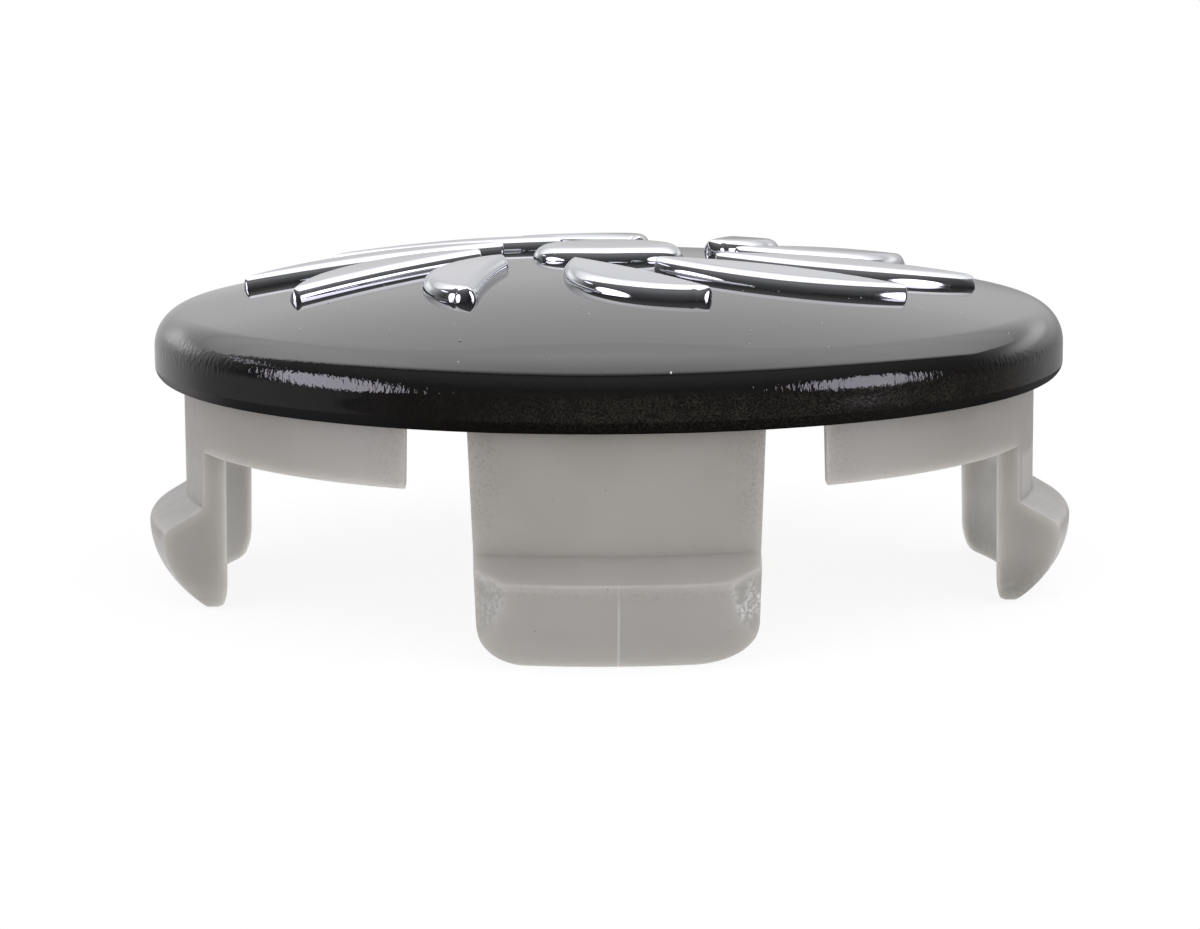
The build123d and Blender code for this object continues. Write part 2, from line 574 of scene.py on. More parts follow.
@dataclass(frozen=True)
class GlossBlackPaint:
    """Sprayed gloss black: mirror smooth on the dome, orange peel on the rim, dry spray low down.

    The rim's zones are ramps over the radius, over the height or across the cap, in millimetres.
    The roughness is a ramp from the smooth paint to the dry.
    """

    colour: Colour = (0.0048, 0.0043, 0.004)
    dry_colour: Colour = (0.034, 0.0295, 0.0235)
    dust_colour: Colour = (0.55, 0.55, 0.53)
    ior: float = 1.5
    rough: Ramp = Ramp(0.0, 1.0, 0.024, 0.1)
    rim: Ramp = Ramp(28.6, 30.4)
    peel: Noise = Noise(2.9, 2.0, 0.55, stretch=(1.0, 1.0, 0.6))
    peel_depth: float = 0.042
    peel_top: Ramp = Ramp(19.15, 18.25)
    peel_lean: float = 0.013
    peel_foot: Ramp = Ramp(17.1, 17.8, 0.1, 1.0)
    dry_top: Ramp = Ramp(18.2, 17.4)
    dry_grain: Noise = Noise(7.0, 3.0, 0.8, ramp=Ramp(0.36, 0.7))
    dry_patch: Noise = Noise(0.7, 3.0, 0.6, ramp=Ramp(0.36, 0.66, 0.6, 1.0))
    fine_grain: Noise = Noise(6.5, 2.0, 0.6)
    grain_depth: float = 0.007
    swell: Noise = Noise(0.22, 1.0, 0.5)
    swell_depth: float = 0.006
    dust: Specks = Specks(2.6, 0.07, 0.4)
    dust_rough: float = 0.4

    def material(self) -> bpy.types.Material:
        """Write the paint's nodes.

        Returns:
            The material.
        """
        bench = Bench("gloss_black_paint")
        rim = bench.spread(bench.radius, self.rim)
        lean = bench.math("ADD", bench.z, bench.product(bench.x, self.peel_lean))
        peeled = bench.product(bench.spread(lean, self.peel_top), rim)
        peeled = bench.product(peeled, bench.spread(bench.z, self.peel_foot))
        low = bench.product(bench.spread(bench.z, self.dry_top), rim, bench.spread(bench.x, DRY_ACROSS))
        grain = bench.product(bench.noise(self.dry_grain), bench.noise(self.dry_patch))
        base = bench.blend(bench.product(low, grain), self.colour, self.dry_colour)
        dust = bench.specks(self.dust, bench.x, bench.y)
        base = bench.blend(dust, base, self.dust_colour)
        rough = bench.math("ADD", bench.spread(low, self.rough), bench.product(dust, self.dust_rough))
        normal = bench.bump(bench.product(bench.noise(self.peel), peeled), self.peel_depth)
        normal = bench.bump(bench.product(bench.noise(self.fine_grain), low), self.grain_depth, normal)
        normal = bench.bump(bench.noise(self.swell), self.swell_depth, normal)
        return bench.finish({"Base Color": base, "Roughness": rough, "IOR": self.ior, "Normal": normal})


@dataclass(frozen=True)
class DryBlackPaint:
    """Dry overspray on the rim's lower rounding: matte, grainy and without gloss, paler at the sides.

    The paler sides, more so on the left, are painted reflection. The fades are ramps over the
    distance from the middle, and across the cap, in millimetres.
    """

    colour: Colour = (0.004, 0.0036, 0.0033)
    grain_colour: Colour = (0.018, 0.0165, 0.0135)
    reflection_fade_colour: Colour = (0.016, 0.0152, 0.0152)
    side_reflection_colour: Colour = (0.2, 0.193, 0.19)
    rough: Ramp = Ramp(0.0, 1.0, 0.35, 0.55)
    gloss: float = 0.0
    grain: Noise = Noise(6.5, 3.0, 0.75, ramp=Ramp(0.42, 0.68))
    reflection_fade: Ramp = Ramp(6.0, 25.0)
    reflection_fade_across: Ramp = Ramp(-10.0, 10.0, 1.0, 0.45)
    side: Ramp = Ramp(22.0, 31.6)
    side_reflection_power: float = 2.5
    side_reflection_across: Ramp = Ramp(-10.0, 10.0, 1.0, 0.25)
    pits: Noise = Noise(6.5, 2.0, 0.6)
    pit_depth: float = 0.012

    def material(self) -> bpy.types.Material:
        """Write the overspray's nodes.

        Returns:
            The material.
        """
        bench = Bench("dry_black_paint")
        grain = bench.product(bench.noise(self.grain), bench.spread(bench.x, DRY_ACROSS))
        base = bench.blend(grain, self.colour, self.grain_colour)
        reach = bench.math("ABSOLUTE", bench.x)
        # Painted reflection: paler towards the sides, more on the left.
        reflection_fade = bench.product(bench.spread(reach, self.reflection_fade), bench.spread(bench.x, self.reflection_fade_across))
        base = bench.blend(reflection_fade, base, self.reflection_fade_colour)
        # Painted reflection: grey where the rim turns away at the far sides, more on the left.
        side = bench.math("POWER", bench.spread(reach, self.side), self.side_reflection_power)
        side = bench.product(side, bench.spread(bench.x, self.side_reflection_across))
        base = bench.blend(side, base, self.side_reflection_colour)
        return bench.finish({
            "Base Color": base,
            "Roughness": bench.spread(grain, self.rough),
            "Normal": bench.bump(bench.noise(self.pits), self.pit_depth),
            "Specular IOR Level": self.gloss,
        })


@dataclass(frozen=True)
class BarePlastic:
    """Bare warm grey moulding, a little translucent: paint mist, soil, rubbing on the bevels, parting
    line.

    The pieces' own marks say where the mist, the soil, the rubbing and the line are. The pale
    colour of the bevels is partly rubbing and partly painted highlight, stronger on the right, and
    the line mark also carries a painted highlight on the side legs.
    """

    colour: Colour = (0.352, 0.338, 0.318)
    shade: Colour = (0.333, 0.319, 0.299)
    mist_colour: Colour = (0.13, 0.122, 0.115)
    soil_colour: Colour = (0.19, 0.184, 0.165)
    pale_mark_and_highlight_colour: Colour = (0.55, 0.553, 0.547)
    worn_colour: Colour = (0.29, 0.285, 0.262)
    ior: float = 1.5
    see_through: float = 0.9
    see_depth: Point = (4.4, 4.2, 3.9)
    rough: Noise = Noise(0.8, 3.0, 0.6, ramp=Ramp(0.3, 0.7, 0.3, 0.38))
    cloud: Noise = Noise(0.14, 3.0, 0.5, ramp=Ramp(0.35, 0.68))
    worn_share: float = 0.55
    worn_rough: float = 0.2
    lace: Noise = Noise(3.4, 4.0, 0.75, ramp=Ramp(0.45, 0.57))
    patch: Noise = Noise(0.55, 1.0, 0.5, shift=(1.0, 0.0, 0.6), ramp=Ramp(0.36, 0.62))
    highlight_across: Ramp = Ramp(-4.0, 4.0, 0.4, 1.0)
    rub_depth: float = 0.008
    drops: Noise = Noise(5.0, 3.0, 0.75, ramp=Ramp(0.47, 0.66))
    mist_share: float = 0.5
    grime: Noise = Noise(2.4, 4.0, 0.65, ramp=Ramp(0.3, 0.7, 0.65, 1.0))
    spots: Specks = Specks(3.1, 0.08, 0.3)
    spot_share: float = 0.6
    texture: Noise = Noise(4.5, 3.0, 0.6)
    texture_depth: float = 0.004
    wave: Noise = Noise(0.35, 1.0, 0.5)
    wave_depth: float = 0.02

    def material(self) -> bpy.types.Material:
        """Write the plastic's nodes.

        Returns:
            The material.
        """
        bench = Bench("bare_grey_plastic")
        base = bench.blend(bench.noise(self.cloud), self.colour, self.shade)
        worn = bench.mark("scuff")
        base = bench.blend(bench.product(worn, self.worn_share), base, self.worn_colour)
        # Pale bevels: rubbing, and painted highlight that is stronger on the right.
        patch = bench.product(bench.noise(self.patch), bench.spread(bench.x, self.highlight_across))
        rubbed_and_highlight = bench.product(worn, bench.noise(self.lace), patch)
        base = bench.blend(rubbed_and_highlight, base, self.pale_mark_and_highlight_colour)
        # Line mark: the pale parting line, and on the side legs a painted highlight.
        base = bench.blend(bench.mark("line"), base, self.pale_mark_and_highlight_colour)
        mist = bench.product(bench.mark("mist"), bench.noise(self.drops), self.mist_share)
        base = bench.blend(mist, base, self.mist_colour)
        soil = bench.product(bench.mark("soil"), bench.noise(self.grime))
        base = bench.blend(soil, base, self.soil_colour)
        spots = bench.specks(self.spots, bench.math("ADD", bench.x, bench.y), bench.z)
        base = bench.blend(bench.product(spots, self.spot_share), base, self.mist_colour)
        rough = bench.math("ADD", bench.noise(self.rough), bench.product(worn, self.worn_rough))
        normal = bench.bump(bench.noise(self.texture), self.texture_depth)
        normal = bench.bump(rubbed_and_highlight, self.rub_depth, normal)
        normal = bench.bump(bench.noise(self.wave), self.wave_depth, normal)
        return bench.finish({
            "Base Color": base,
            "Roughness": rough,
            "IOR": self.ior,
            "Normal": normal,
            "Subsurface Weight": self.see_through,
            "Subsurface Radius": self.see_depth,
            "Subsurface Scale": MM,
        })


@dataclass(frozen=True)
class PaleDust:
    """Pale matte dust."""

    colour: Colour = (0.42, 0.41, 0.39)
    shade: Colour = (0.25, 0.245, 0.235)
    cloud: Noise = Noise(0.5, ramp=Ramp(0.35, 0.65))
    rough: float = 0.9

    def material(self) -> bpy.types.Material:
        """Write the dust's nodes.

        Returns:
            The material.
        """
        bench = Bench("pale_dust")
        base = bench.blend(bench.noise(self.cloud), self.colour, self.shade)
        return bench.finish({"Base Color": base, "Roughness": self.rough})


@dataclass(frozen=True)
class BrightPlating:
    """Bright plated metal skin with a faint haze."""

    colour: Colour = (0.41, 0.415, 0.435)
    dust_colour: Colour = (0.5, 0.5, 0.5)
    haze: Noise = Noise(0.7, 3.0, 0.6, ramp=Ramp(0.4, 0.75, 0.05, 0.13))
    ripple: Noise = Noise(0.9, 2.0, 0.5)
    ripple_depth: float = 0.006
    dust: Specks = Specks(2.1, 0.06, 0.35)
    dust_rough: float = 0.4

    def material(self) -> bpy.types.Material:
        """Write the plating's nodes.

        Returns:
            The material.
        """
        bench = Bench("bright_plating")
        dust = bench.specks(self.dust, bench.x, bench.y)
        base = bench.blend(dust, self.colour, self.dust_colour)
        rough = bench.math("ADD", bench.noise(self.haze), bench.product(dust, self.dust_rough))
        normal = bench.bump(bench.noise(self.ripple), self.ripple_depth)
        return bench.finish({"Base Color": base, "Metallic": 1.0, "Roughness": rough, "Normal": normal})


# Parts of the cap


@dataclass
class DomedFace:
    """Domed face with its rim, turned about the axis."""

    cap: CapSizes
    segments: int = 288
    dome_rings: int = 40
    shoulder_rings: int = 26
    band_rings: int = 6
    low_rings: int = 14
    seat_rings: int = 8
    wall_rings: int = 6
    under_rings: int = 24
    mist: Ramp = Ramp(30.4, 31.4)
    fold: float = 30.0

    def arc(self, centre: tuple[float, float], radius: float, turn: np.ndarray) -> np.ndarray:
        """Section points of a circle, by their angles from level."""
        return np.stack([centre[0] + radius * np.cos(turn), centre[1] + radius * np.sin(turn)], axis=1)

    def on_dome(self, reach: np.ndarray, radius: float) -> np.ndarray:
        """Section points of a sphere about the dome's centre, by their distances from the axis."""
        return np.stack([reach, self.cap.dome_height(reach, 0.0, radius)], axis=1)

    def profile(self) -> tuple[np.ndarray, int, int]:
        """Half section from the crown over the rim and back under the dome.

        The dome is an arc about the dome's centre, the shoulder and the lower edge are arcs that
        touch the rim's upright band, the flange and the inside are lines, and the underside is
        the dome's arc less the shell's thickness. Each stretch after the first leaves out the
        point where the one before it ends.

        Returns:
            Radius and height of each point, and the numbers of the first points that are dry
            sprayed and bare.
        """
        cap = self.cap
        shoulder = (cap.face_r - cap.shoulder_round, cap.shoulder_z)
        low_edge = (cap.face_r - cap.rim_low_round, cap.seat_z + cap.rim_low_round)
        lean = math.atan2(shoulder[1] - cap.sphere_z, shoulder[0])
        dome_edge = shoulder[0] + cap.shoulder_round * math.cos(lean)
        band_foot = (cap.face_r, cap.shoulder_z - cap.rim_band)
        under_radius = cap.crown_radius - cap.shell_thk
        seat_in = (cap.inner_r, cap.seat_z)
        under_edge = (cap.inner_r, cap.dome_height(cap.inner_r, 0.0, under_radius))
        stretches = [
            self.on_dome(np.linspace(0.0, dome_edge, self.dome_rings), cap.crown_radius),
            self.arc(shoulder, cap.shoulder_round, np.linspace(lean, 0.0, self.shoulder_rings)[1:]),
            np.linspace((cap.face_r, cap.shoulder_z), band_foot, self.band_rings)[1:],
            self.arc(low_edge, cap.rim_low_round, np.linspace(0.0, -math.pi / 2.0, self.low_rings)[1:]),
            np.linspace((low_edge[0], cap.seat_z), seat_in, self.seat_rings)[1:],
            np.linspace(seat_in, under_edge, self.wall_rings)[1:],
            self.on_dome(np.linspace(cap.inner_r, 0.0, self.under_rings)[1:], under_radius),
        ]
        ends = np.cumsum([len(stretch) for stretch in stretches])
        return np.concatenate(stretches), int(ends[2]), int(ends[3])

    def build(self, materials: dict[Coat, bpy.types.Material]) -> bpy.types.Object:
        """Turn the profile and dress it.

        Args:
            materials: Gloss paint for the face and rim, dry paint for the rim's lower rounding,
                and bare plastic for the flange's underside and the inside.

        Returns:
            The face's object.
        """
        profile, dry, bare = self.profile()
        shape = lathe(profile, self.segments)
        rings = np.arange(len(shape.faces))
        below = np.where(rings < bare, Coat.DRY.value, Coat.BARE.value)
        shape.coats = np.where(rings < dry, Coat.PAINT.value, below).tolist()
        reach = np.hypot(shape.points[:, 0], shape.points[:, 1])
        shape.marks["mist"] = self.mist.at(reach)
        for label in ("scuff", "line"):
            shape.marks[label] = np.zeros(len(shape.points))
        return shape.as_object("painted_face", [materials[coat] for coat in Coat], self.fold)


@dataclass
class BrightMotif:
    """Raised motif: swept vanes round an oval button, all of one bright skin."""

    cap: CapSizes
    vane_count: int = 10
    tip_half: tuple[float, float] = (26.5, 18.0)
    button_half: tuple[float, float] = (5.3, 3.6)
    vane_gap: float = 2.9
    vane_sweep: float = 34.0
    vane_belly: float = 4.6
    end_round: float = 0.8
    height: float = 1.0
    edge_round: float = 0.85
    sunk: float = 0.4
    along: int = 72
    across: int = 33
    least_half: float = 0.02
    button_rings: int = 28
    under_rings: int = 8
    segments: int = 96
    fold: float = 50.0

    def arc(self, start: np.ndarray, middle: np.ndarray, end: np.ndarray, share: np.ndarray) -> np.ndarray:
        """Points of the circle through three points, at shares of the way from first to last.

        The centre solves the two equations of equal distance; the angles are unwrapped from it.

        Args:
            start: First point.
            middle: A point between.
            end: Last point.
            share: Shares from 0 to 1.

        Returns:
            Points, one per share.
        """
        rows = 2.0 * np.array([middle - start, end - start])
        sums = np.array([middle @ middle - start @ start, end @ end - start @ start])
        centre = np.linalg.solve(rows, sums)
        spokes = np.array([start, middle, end]) - centre
        angles = np.unwrap(np.arctan2(spokes[:, 1], spokes[:, 0]))
        angle = angles[0] + (angles[2] - angles[0]) * share
        return centre + np.hypot(*spokes[0]) * np.stack([np.cos(angle), np.sin(angle)], axis=1)

    def spine(self, turn: float, share: float) -> np.ndarray:
        """Point of a vane's swept middle line: an ellipse's radius that grows as it turns."""
        root_half = np.array(self.button_half) + self.vane_gap
        half = root_half + (np.array(self.tip_half) - root_half) * share
        angle = math.radians(turn + self.vane_sweep * share)
        return half * np.array([math.cos(angle), math.sin(angle)])

    def bead(self, inset: np.ndarray) -> np.ndarray:
        """Height over the face: a quarter ellipse over the edge's rounding, then level."""
        share = np.clip(inset / self.edge_round, 0.0, 1.0)
        return self.height * np.sqrt(1.0 - (1.0 - share) ** 2)

    def vane(self, turn: float) -> Shape:
        """One vane: rungs between its two arcs, with round ends and rounded edges, on the dome.

        Args:
            turn: Where its root stands, in degrees from +X.

        Returns:
            The closed vane, its underside sunk into the shell.
        """
        root, middle, tip = (self.spine(turn, share) for share in (0.0, 0.5, 1.0))
        chord = tip - root
        length = float(np.hypot(*chord))
        belly = np.array([-chord[1], chord[0]]) / length * self.vane_belly / 2.0
        cut = self.end_round / length
        step = np.linspace(0.0, 1.0, self.along)
        share = cut + (1.0 - 2.0 * cut) * (1.0 - np.cos(math.pi * step)) / 2.0
        left = self.arc(root, middle + belly, tip, share)
        right = self.arc(root, middle - belly, tip, share)
        centre = (left + right) / 2.0
        rung = (left - right) / 2.0
        half = np.hypot(rung[:, 0], rung[:, 1])
        end = np.minimum(share - cut, 1.0 - cut - share) * length
        dip = self.end_round - np.clip(end, 0.0, self.end_round)
        cap_half = np.sqrt(np.maximum(self.end_round**2 - dip**2, 0.0))
        kept = np.where(end < self.end_round, np.minimum(half, cap_half), half)
        kept = np.maximum(kept, self.least_half)
        side = np.sin(np.linspace(-math.pi / 2.0, math.pi / 2.0, self.across))
        place = centre[:, None, :] + (rung / half[:, None] * kept[:, None])[:, None, :] * side[None, :, None]
        inset = kept[:, None] * (1.0 - np.abs(side))[None, :]
        face = self.cap.dome_height(place[..., 0], place[..., 1], self.cap.crown_radius)
        top = np.dstack([place, face + self.bead(inset)])
        bottom = np.dstack([place, face - self.sunk])
        return thick_sheet(top, bottom, np.ones((self.along - 1, self.across - 1), dtype=bool))

    def button(self) -> Shape:
        """Oval button: a turned bead stretched to the oval and set on the dome.

        Returns:
            The closed button, its underside sunk into the shell.
        """
        share = np.sin(np.linspace(0.0, math.pi / 2.0, self.button_rings))
        inset = (1.0 - share) * self.button_half[1]
        top = np.stack([share, self.bead(inset)], axis=1)
        flat = np.full(self.under_rings, -self.sunk)
        under = np.stack([np.linspace(1.0, 0.0, self.under_rings), flat], axis=1)
        shape = lathe(np.concatenate([top, under]), self.segments)
        shape.points[:, :2] *= self.button_half
        x, y = shape.points[:, 0], shape.points[:, 1]
        shape.points[:, 2] += self.cap.dome_height(x, y, self.cap.crown_radius)
        return shape

    def build(self, plating: bpy.types.Material) -> bpy.types.Object:
        """Make every vane and the button as one mesh.

        Args:
            plating: Bright material.

        Returns:
            The motif's object.
        """
        shapes = [self.vane(360.0 * number / self.vane_count) for number in range(self.vane_count)]
        shapes.append(self.button())
        return joined(shapes).as_object("bright_motif", [plating], self.fold)


@dataclass
class Leg:
    """A leg with its barb, drawn at the front or at the right and turned to where it stands."""

    cap: CapSizes
    barb: BarbSection
    top_mist: float = 0.0
    top_mist_depth: float = 3.0
    fold: float = 40.0
    edge: float = 0.11
    edge_steps: int = 2
    edge_fold: float = 50.0

    def shape(self) -> Shape:
        """The closed leg where it is drawn, with its marks."""
        raise NotImplementedError

    def mist_below_rim(self, height: np.ndarray) -> np.ndarray:
        """Paint mist that reaches down from the rim, at some heights."""
        return self.top_mist * eased(height, self.cap.seat_z - self.top_mist_depth, self.cap.seat_z)

    def build(self, name: str, facing: Facing, bare: bpy.types.Material) -> bpy.types.Object:
        """Make the leg where it stands, with its sharp edges a little rounded.

        Args:
            name: Object's name.
            facing: Quarter that it stands in.
            bare: Bare plastic.

        Returns:
            The leg's object.
        """
        piece = self.shape().turned(facing.turn).as_object(name, [bare], self.fold)
        bevel = piece.modifiers.new("eased_edges", "BEVEL")
        bevel.width = self.edge * MM
        bevel.segments = self.edge_steps
        bevel.limit_method = "ANGLE"
        bevel.angle_limit = math.radians(self.edge_fold)
        return piece


@dataclass
class EndLeg(Leg):
    """Front or back leg, free between its two slots, with the corners of its barb bevelled off."""

    top_mist: float = 0.05
    top_mist_depth: float = 3.4
    crest_mist_and_shade: float = 0.4
    crest_mist_and_shade_reach: float = 0.45
    side_mist: Ramp = Ramp(0.66, 1.0, 0.0, 0.7)
    side_mist_rise: Ramp = Ramp(5.5, 12.0)
    scuff: Ramp = Ramp(0.0, 0.12)
    tip_corner: float = 3.2
    long_corner: float = 1.35
    bevel_crest_width: float = 14.2
    bevel_turn: float = 42.0
    crease: float = 0.1
    ridge_height: float = 0.05
    ridge_width: float = 0.09
    ridge_start: float = 0.4
    ridge_full: float = 1.6
    line_share: float = 0.6
    line_width: float = 0.055
    line_above: float = 1.2
    wall_rows: int = 26
    columns: int = 101
    close_columns: tuple[float, ...] = (0.004, 0.008, 0.012, 0.017, 0.023, 0.032)

    def spread_columns(self) -> np.ndarray:
        """Columns across the leg from -1 to 1, closer together at the parting line."""
        close = np.array(self.close_columns)
        return np.unique(np.concatenate([np.linspace(-1.0, 1.0, self.columns), close, -close]))

    def shape(self) -> Shape:
        """The leg as a thick sheet: the barb's section carried across a drafted width.

        A point of a row lies at x = share x half width and y = -sqrt(r^2 - x^2), which keeps it on
        the turned wall. The right corner of the tip is drawn out along the tip to an oval. Outside
        the bevel's line the outer skin is held at the bevel's plane, by a smooth maximum. The
        parting line is a narrow bell-shaped ridge on the lead-in.

        Returns:
            The closed leg at the front, with its mist, painted shade along its crest, rubbing on its bevels
            and its parting line.
        """
        levels = np.linspace(self.cap.root_z, self.barb.ledge_z, self.wall_rows)
        outer_r, inner_r, z = self.barb.rows(levels)
        half = self.cap.half_width(z, self.cap.end_leg_width, self.tip_corner)
        inset = self.cap.half_width(z, self.cap.end_leg_width, 0.0) - half
        long_half = half - (self.long_corner - 1.0) * inset
        share = self.spread_columns()
        x = np.where(share > 0.0, long_half[:, None], half[:, None]) * share
        crest_z = self.barb.crest_z
        ridge = self.ridge_height * np.exp(-((x / self.ridge_width) ** 2))
        ridge *= eased(z, crest_z - self.ridge_start, crest_z - self.ridge_full)[:, None]
        wall_y = -np.sqrt(outer_r[:, None] ** 2 - x**2) - ridge
        bevel_x = self.bevel_crest_width / 2.0
        bevel_y = -math.sqrt(self.barb.crest_r**2 - bevel_x**2)
        plane_y = bevel_y + math.tan(math.radians(self.bevel_turn)) * (np.abs(x) - bevel_x)
        over = plane_y - wall_y
        outer_y = (wall_y + plane_y + np.sqrt(over**2 + self.crease**2)) / 2.0
        inner_y = -np.sqrt(inner_r[:, None] ** 2 - x**2)
        height = np.repeat(z[:, None], len(share), axis=1)
        outer = np.dstack([x, outer_y, height])
        inner = np.dstack([x, inner_y, height])
        mist = self.mist_below_rim(height)
        # Dark band along the crest: mottled mist, and painted shade that dims the crest.
        mist += self.crest_mist_and_shade * np.exp(-(((height - crest_z) / self.crest_mist_and_shade_reach) ** 2))
        mist += self.side_mist.at(np.abs(share))[None, :] * self.side_mist_rise.at(height)
        line = np.exp(-((x / self.line_width) ** 2))
        line *= eased(height, crest_z + self.line_above, crest_z - self.ridge_full)
        marks = {"mist": mist, "scuff": self.scuff.at(over), "line": self.line_share * line}
        active = np.ones((len(z) - 1, len(share) - 1), dtype=bool)
        return thick_sheet(outer, inner, active, marks)


@dataclass
class SideLeg(Leg):
    """Left or right leg with the skirt that it grows out of, round to the slots."""

    top_mist: float = 0.08
    slot_mist: Ramp = Ramp(5.0, 0.0, 0.0, 0.5)
    soil: float = 0.0
    soil_height: float = 3.8
    soil_full: float = 0.6
    wall_highlight: float = 0.5
    wall_highlight_height: float = 3.5
    wall_highlight_fade: float = 0.4
    wall_highlight_foot: Ramp = Ramp(-0.05, 0.15)
    wall_highlight_side: Ramp = Ramp(1.0, 4.0)
    tip_corner: float = 2.2
    skirt_rows: int = 10
    wall_rows: int = 9
    skirt_columns: int = 26
    leg_columns: int = 90

    def angles(self, radius: np.ndarray, half: np.ndarray, z: np.ndarray) -> np.ndarray:
        """Angle from the front of every point of one skin.

        From the slot to the leg's side the angle runs evenly, over the leg the point's y runs
        evenly from -half to +half, and the far side mirrors the near one.

        Args:
            radius: Skin's radius in each row.
            half: Half of the leg's width in each row.
            z: Height of each row.

        Returns:
            Angles, rows by columns.
        """
        gap = self.cap.end_leg_width / 2.0 + self.cap.slot_width
        flare = math.tan(math.radians(self.cap.skirt_end_draft))
        start = np.arcsin(np.clip((gap + (self.cap.seat_z - z) * flare) / radius, 0.0, 1.0))
        side = np.arccos(half / radius)
        share = np.linspace(0.0, 1.0, self.skirt_columns + 1)[:-1]
        near = start[:, None] + (side - start)[:, None] * share[None, :]
        across = half[:, None] * np.linspace(-1.0, 1.0, self.leg_columns + 1)[None, :]
        over = np.arccos(-across / radius[:, None])
        return np.concatenate([near, over, math.pi - near[:, ::-1]], axis=1)

    def skin(self, radius: np.ndarray, half: np.ndarray, z: np.ndarray) -> np.ndarray:
        """Points of one skin: x = r sin(angle), y = -r cos(angle) in each row."""
        angle = self.angles(radius, half, z)
        height = np.repeat(z[:, None], angle.shape[1], axis=1)
        return np.dstack([radius[:, None] * np.sin(angle), -radius[:, None] * np.cos(angle), height])

    def shape(self) -> Shape:
        """Skirt and leg as one thick sheet, its cells left out beside the leg below the skirt.

        The ramps of the mist at the slots and of the wall highlight's sides run over columns.

        Returns:
            The closed side, at the right, with its mist, its painted highlight on the wall above the ledge
            and its soil.
        """
        skirt = np.linspace(self.cap.root_z, self.cap.skirt_low_z, self.skirt_rows)
        wall = np.linspace(self.cap.skirt_low_z, self.barb.ledge_z, self.wall_rows)[1:]
        outer_r, inner_r, z = self.barb.rows(np.concatenate([skirt, wall]))
        half = self.cap.half_width(z, self.cap.side_leg_width, self.tip_corner)
        outer = self.skin(outer_r, half, z)
        inner = self.skin(inner_r, half, z)
        active = np.zeros((outer.shape[0] - 1, outer.shape[1] - 1), dtype=bool)
        active[: self.skirt_rows - 1, :] = True
        active[:, self.skirt_columns : self.skirt_columns + self.leg_columns] = True
        height = outer[..., 2]
        column = np.arange(outer.shape[1])
        end = np.minimum(column, len(column) - 1 - column)
        mist = self.mist_below_rim(height) + self.slot_mist.at(end)[None, :]
        soil = self.soil * eased(height, self.soil_height, self.soil_full)
        # Painted highlight on the wall above the ledge, made pale through the line mark.
        above = height - self.barb.ledge_z
        rubbed_and_highlight = self.wall_highlight * self.wall_highlight_foot.at(above)
        rubbed_and_highlight *= eased(above, self.wall_highlight_height, self.wall_highlight_height - self.wall_highlight_fade)
        rubbed_and_highlight *= self.wall_highlight_side.at(end - self.skirt_columns)[None, :]
        marks = {"mist": mist, "scuff": np.zeros_like(height), "line": rubbed_and_highlight, "soil": soil}
        return thick_sheet(outer, inner, active, marks)


@dataclass
class DustGrains:
    """Fine pale dust that lies on the dome."""

    cap: CapSizes
    count: int = 46
    reach: float = 28.5
    smallest: float = 0.03
    largest: float = 0.1
    seed: int = 11
    rings: int = 6
    segments: int = 8
    fold: float = 80.0

    def build(self, dust: bpy.types.Material) -> bpy.types.Object:
        """Scatter little balls evenly over the dome's plan, each sunk to its middle.

        Args:
            dust: Dust's material.

        Returns:
            The grains' object.
        """
        pick = np.random.default_rng(self.seed)
        radius = self.reach * np.sqrt(pick.random(self.count))
        turn = 2.0 * math.pi * pick.random(self.count)
        size = self.smallest + (self.largest - self.smallest) * pick.random(self.count) ** 2
        height = self.cap.dome_height(radius, 0.0, self.cap.crown_radius)
        place = np.stack([radius * np.cos(turn), radius * np.sin(turn), height], axis=1)
        half_turn = np.linspace(math.pi / 2.0, -math.pi / 2.0, self.rings)
        ball = lathe(np.stack([np.cos(half_turn), np.sin(half_turn)], axis=1), self.segments)
        grains = [Shape(ball.points * grown + spot, ball.faces) for grown, spot in zip(size, place)]
        return joined(grains).as_object("dust_grains", [dust], self.fold)


@dataclass
class CentreCap:
    """The whole cap, in place of its solid."""

    cap: CapSizes = field(default_factory=CapSizes)

    def build(self) -> list[bpy.types.Object]:
        """Build and dress every piece, and let each stand for the solid.

        Returns:
            The pieces.
        """
        bare = BarePlastic().material()
        coats = {
            Coat.PAINT: GlossBlackPaint().material(),
            Coat.DRY: DryBlackPaint().material(),
            Coat.BARE: bare,
        }
        plating = BrightPlating().material()
        barb = BarbSection(self.cap)
        end_leg = EndLeg(self.cap, barb)
        # The right leg carries the stronger painted highlight on its wall, the left a weaker one.
        right_leg = SideLeg(self.cap, barb, soil=0.95, soil_height=4.6)
        left_leg = SideLeg(self.cap, barb, wall_highlight=0.2, soil=0.2, soil_height=8.0)
        pieces = [
            DomedFace(self.cap).build(coats),
            BrightMotif(self.cap).build(plating),
            end_leg.build("leg_front", Facing.FRONT, bare),
            end_leg.build("leg_back", Facing.BACK, bare),
            right_leg.build("skirt_leg_right", Facing.RIGHT, bare),
            left_leg.build("skirt_leg_left", Facing.LEFT, bare),
            DustGrains(self.cap).build(PaleDust().material()),
        ]
        for piece in pieces:
            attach(piece, BODY)
            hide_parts(NODE)
            log.info("%s: %d faces", piece.name, len(piece.data.polygons))
        return pieces


# Studio


